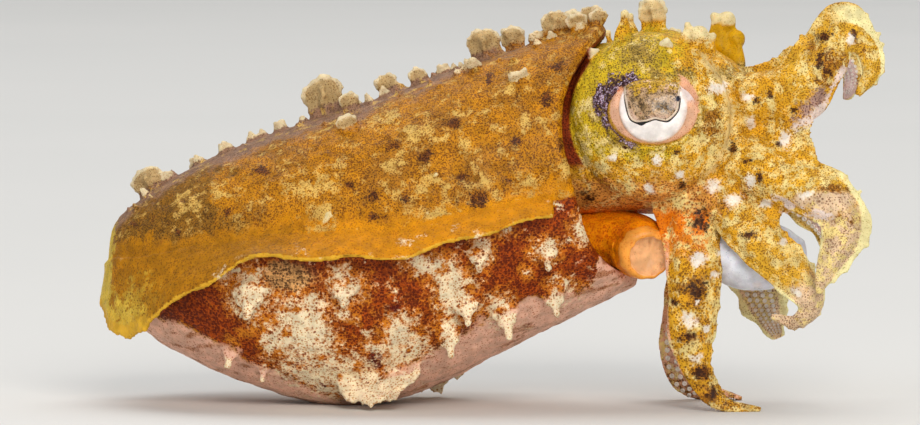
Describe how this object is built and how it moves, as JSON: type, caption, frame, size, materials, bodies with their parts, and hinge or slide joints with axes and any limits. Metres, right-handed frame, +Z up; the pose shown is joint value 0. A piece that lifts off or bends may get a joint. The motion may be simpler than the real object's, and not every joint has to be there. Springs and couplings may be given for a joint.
{
  "type": "dwarf cuttlefish model",
  "caption": "Life-size still model of a dwarf cuttlefish walking on its lowest arms with its belly on the ground.",
  "frame": {"origin": "centre of the bounding box's base, on the ground", "axes": "+X forward from tail to head, +Y to the animal's left, +Z up"},
  "size_m": [0.0874, 0.0378, 0.0445],
  "materials": {
    "back_skin": "wet soft skin, ochre",
    "head_skin": "wet soft skin, olive yellow",
    "fin_skin": "wet thin skin, orange yellow",
    "flap_skin": "wet soft skin, cream",
    "funnel_skin": "wet soft skin, orange",
    "eye": "glossy, clear over white",
    "white_flesh": "wet smooth white flesh"
  },
  "bodies": {
    "root": {"mantle": "back_skin", "fin_left": "fin_skin", "fin_right": "fin_skin", "ventral_flap_left": "flap_skin", "ventral_flap_right": "flap_skin", "head": "head_skin", "eye_left": "eye", "eye_right": "eye", "funnel": "funnel_skin", "mouth": "white_flesh", "tentacle_left": "white_flesh", "tentacle_right": "white_flesh", "arm_1_left_base": "head_skin", "arm_1_left_tip": "head_skin", "arm_1_right_base": "head_skin", "arm_1_right_tip": "head_skin", "arm_2_left_base": "head_skin", "arm_2_left_tip": "head_skin", "arm_2_right_base": "head_skin", "arm_2_right_tip": "head_skin", "arm_3_left_base": "head_skin", "arm_3_left_tip": "head_skin", "arm_3_right_base": "head_skin", "arm_3_right_tip": "head_skin", "arm_4_left_base": "head_skin", "arm_4_left_tip": "head_skin", "arm_4_right_base": "head_skin", "arm_4_right_tip": "head_skin"}
  },
  "joints": []
}
